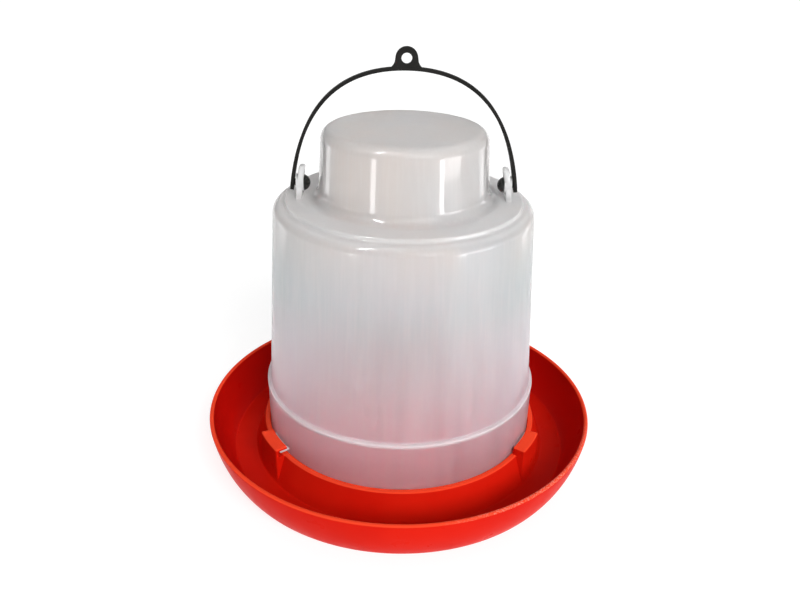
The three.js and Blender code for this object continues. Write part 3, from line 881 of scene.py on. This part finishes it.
def soft_box(name, azimuth, place, width, height, radiance, shows_in, aim=0.12):
    """A rectangular light at place = (distance, height), aimed at the Z axis at height aim.

    It shows in "gloss" (as a reflection only) or in "matt" (it lights, and makes no reflection).
    """
    data = bpy.data.lights.new(name, "AREA")
    data.shape = "RECTANGLE"
    data.size = width
    data.size_y = height
    data.energy = radiance * math.pi * width * height
    light = add_object(name, data)
    distance, level = place
    light.location = distance * direction(azimuth, 0) + Vector((0, 0, level))
    toward = Vector((0, 0, aim)) - light.location
    light.rotation_euler = toward.to_track_quat("-Z", "Y").to_euler()
    light.visible_camera = False
    light.visible_glossy = shows_in == "gloss"
    light.visible_diffuse = shows_in == "matt"
    light.visible_transmission = shows_in == "matt"


def sun(name, azimuth, elevation, strength, angle):
    """A distant soft light that makes no highlights."""
    data = bpy.data.lights.new(name, "SUN")
    data.energy = strength
    data.angle = math.radians(angle)
    light = add_object(name, data)
    light.rotation_euler = (-direction(azimuth, elevation)).to_track_quat("-Z", "Y").to_euler()
    light.visible_glossy = False


def studio_world():
    """White surroundings that are brightest low down behind the object, on its right.

    Seen directly they are plain white, like the floor.
    """
    world = bpy.data.worlds.new("studio")
    world.use_nodes = True
    tree = world.node_tree
    coords = tree.nodes.new("ShaderNodeTexCoord")
    facing = tree.nodes.new("ShaderNodeVectorMath")
    facing.operation = "DOT_PRODUCT"
    facing.inputs[1].default_value = direction(WORLD_AZIMUTH, WORLD_ELEVATION)
    strength = tree.nodes.new("ShaderNodeMapRange")
    strength.interpolation_type = "SMOOTHSTEP"
    strength.inputs["From Min"].default_value = -0.6
    strength.inputs["From Max"].default_value = 1.0
    strength.inputs["To Min"].default_value = WORLD_DIM
    strength.inputs["To Max"].default_value = WORLD_BRIGHT
    tree.links.new(coords.outputs["Generated"], facing.inputs[0])
    tree.links.new(facing.outputs["Value"], strength.inputs["Value"])
    path = tree.nodes.new("ShaderNodeLightPath")
    backdrop = tree.nodes.new("ShaderNodeMix")
    backdrop.inputs["B"].default_value = 1.0
    tree.links.new(path.outputs["Is Camera Ray"], backdrop.inputs["Factor"])
    tree.links.new(strength.outputs["Result"], backdrop.inputs["A"])
    tree.links.new(backdrop.outputs["Result"], tree.nodes["Background"].inputs["Strength"])
    tree.nodes["Background"].inputs["Color"].default_value = (1, 1, 1, 1)
    bpy.context.scene.world = world


def set_light():
    studio_world()
    bpy.context.scene.view_settings.view_transform = "Standard"
    sun("key", 26, 33, 2.5, 30)
    soft_box("left_strip", -40, (0.60, 0.135), 0.07, 0.13, 9, "gloss")
    soft_box("right_strip", 46, (0.60, 0.135), 0.06, 0.13, 13, "gloss")
    soft_box("right_pane", 42, (0.40, 0.14), 0.08, 0.28, 1.2, "gloss")
    soft_box("far_right_pane", 62, (0.40, 0.14), 0.10, 0.28, 0.8, "gloss")
    soft_box("right_box", 62, (0.80, 0.20), 0.36, 0.24, 6, "gloss")
    soft_box("left_lamp", -45, (0.67, 1.12), 0.07, 0.42, 60, "gloss")
    soft_box("left_rim", -118, (0.60, 0.10), 0.12, 0.20, 1.7, "gloss")
    soft_box("right_rim", 118, (0.60, 0.10), 0.12, 0.20, 1.7, "gloss")
    soft_box("front_panel", 18, (0.30, 0.03), 0.10, 0.05, 0.6, "matt", 0.02)
    soft_box("left_panel", -72, (0.42, 0.04), 0.20, 0.05, 4, "matt", 0.04)
    soft_box("left_fill", -70, (0.80, 0.70), 0.50, 0.50, 0.25, "matt")


def make_floor():
    size = FLOOR_HALF_SIZE
    bm = bmesh.new()
    corners = ((-size, -size), (size, -size), (size, size), (-size, size))
    bm.faces.new([bm.verts.new((x, y, 0)) for x, y in corners])
    floor = add_object("floor", finish_mesh(bm, "floor"))
    floor.data.materials.append(floor_paint())


# ---- the waterer ----

def place_piece(piece, material, body, node):
    piece.data.materials.clear()
    piece.data.materials.append(material)
    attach(piece, body)
    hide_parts(node)


set_camera()
set_light()
make_floor()
pin_material = pin_plastic()
place_piece(make_tray(), tray_plastic(), "tray", "drinking_tray")
place_piece(make_fount(), fount_plastic(), "fount", "water_fount")
place_piece(make_bail(), bail_plastic(), "bail", "bail")
place_piece(make_pin("right_pivot_pin", 1), pin_material, "bail", "pivot_pin_right")
place_piece(make_pin("left_pivot_pin", -1), pin_material, "bail", "pivot_pin_left")
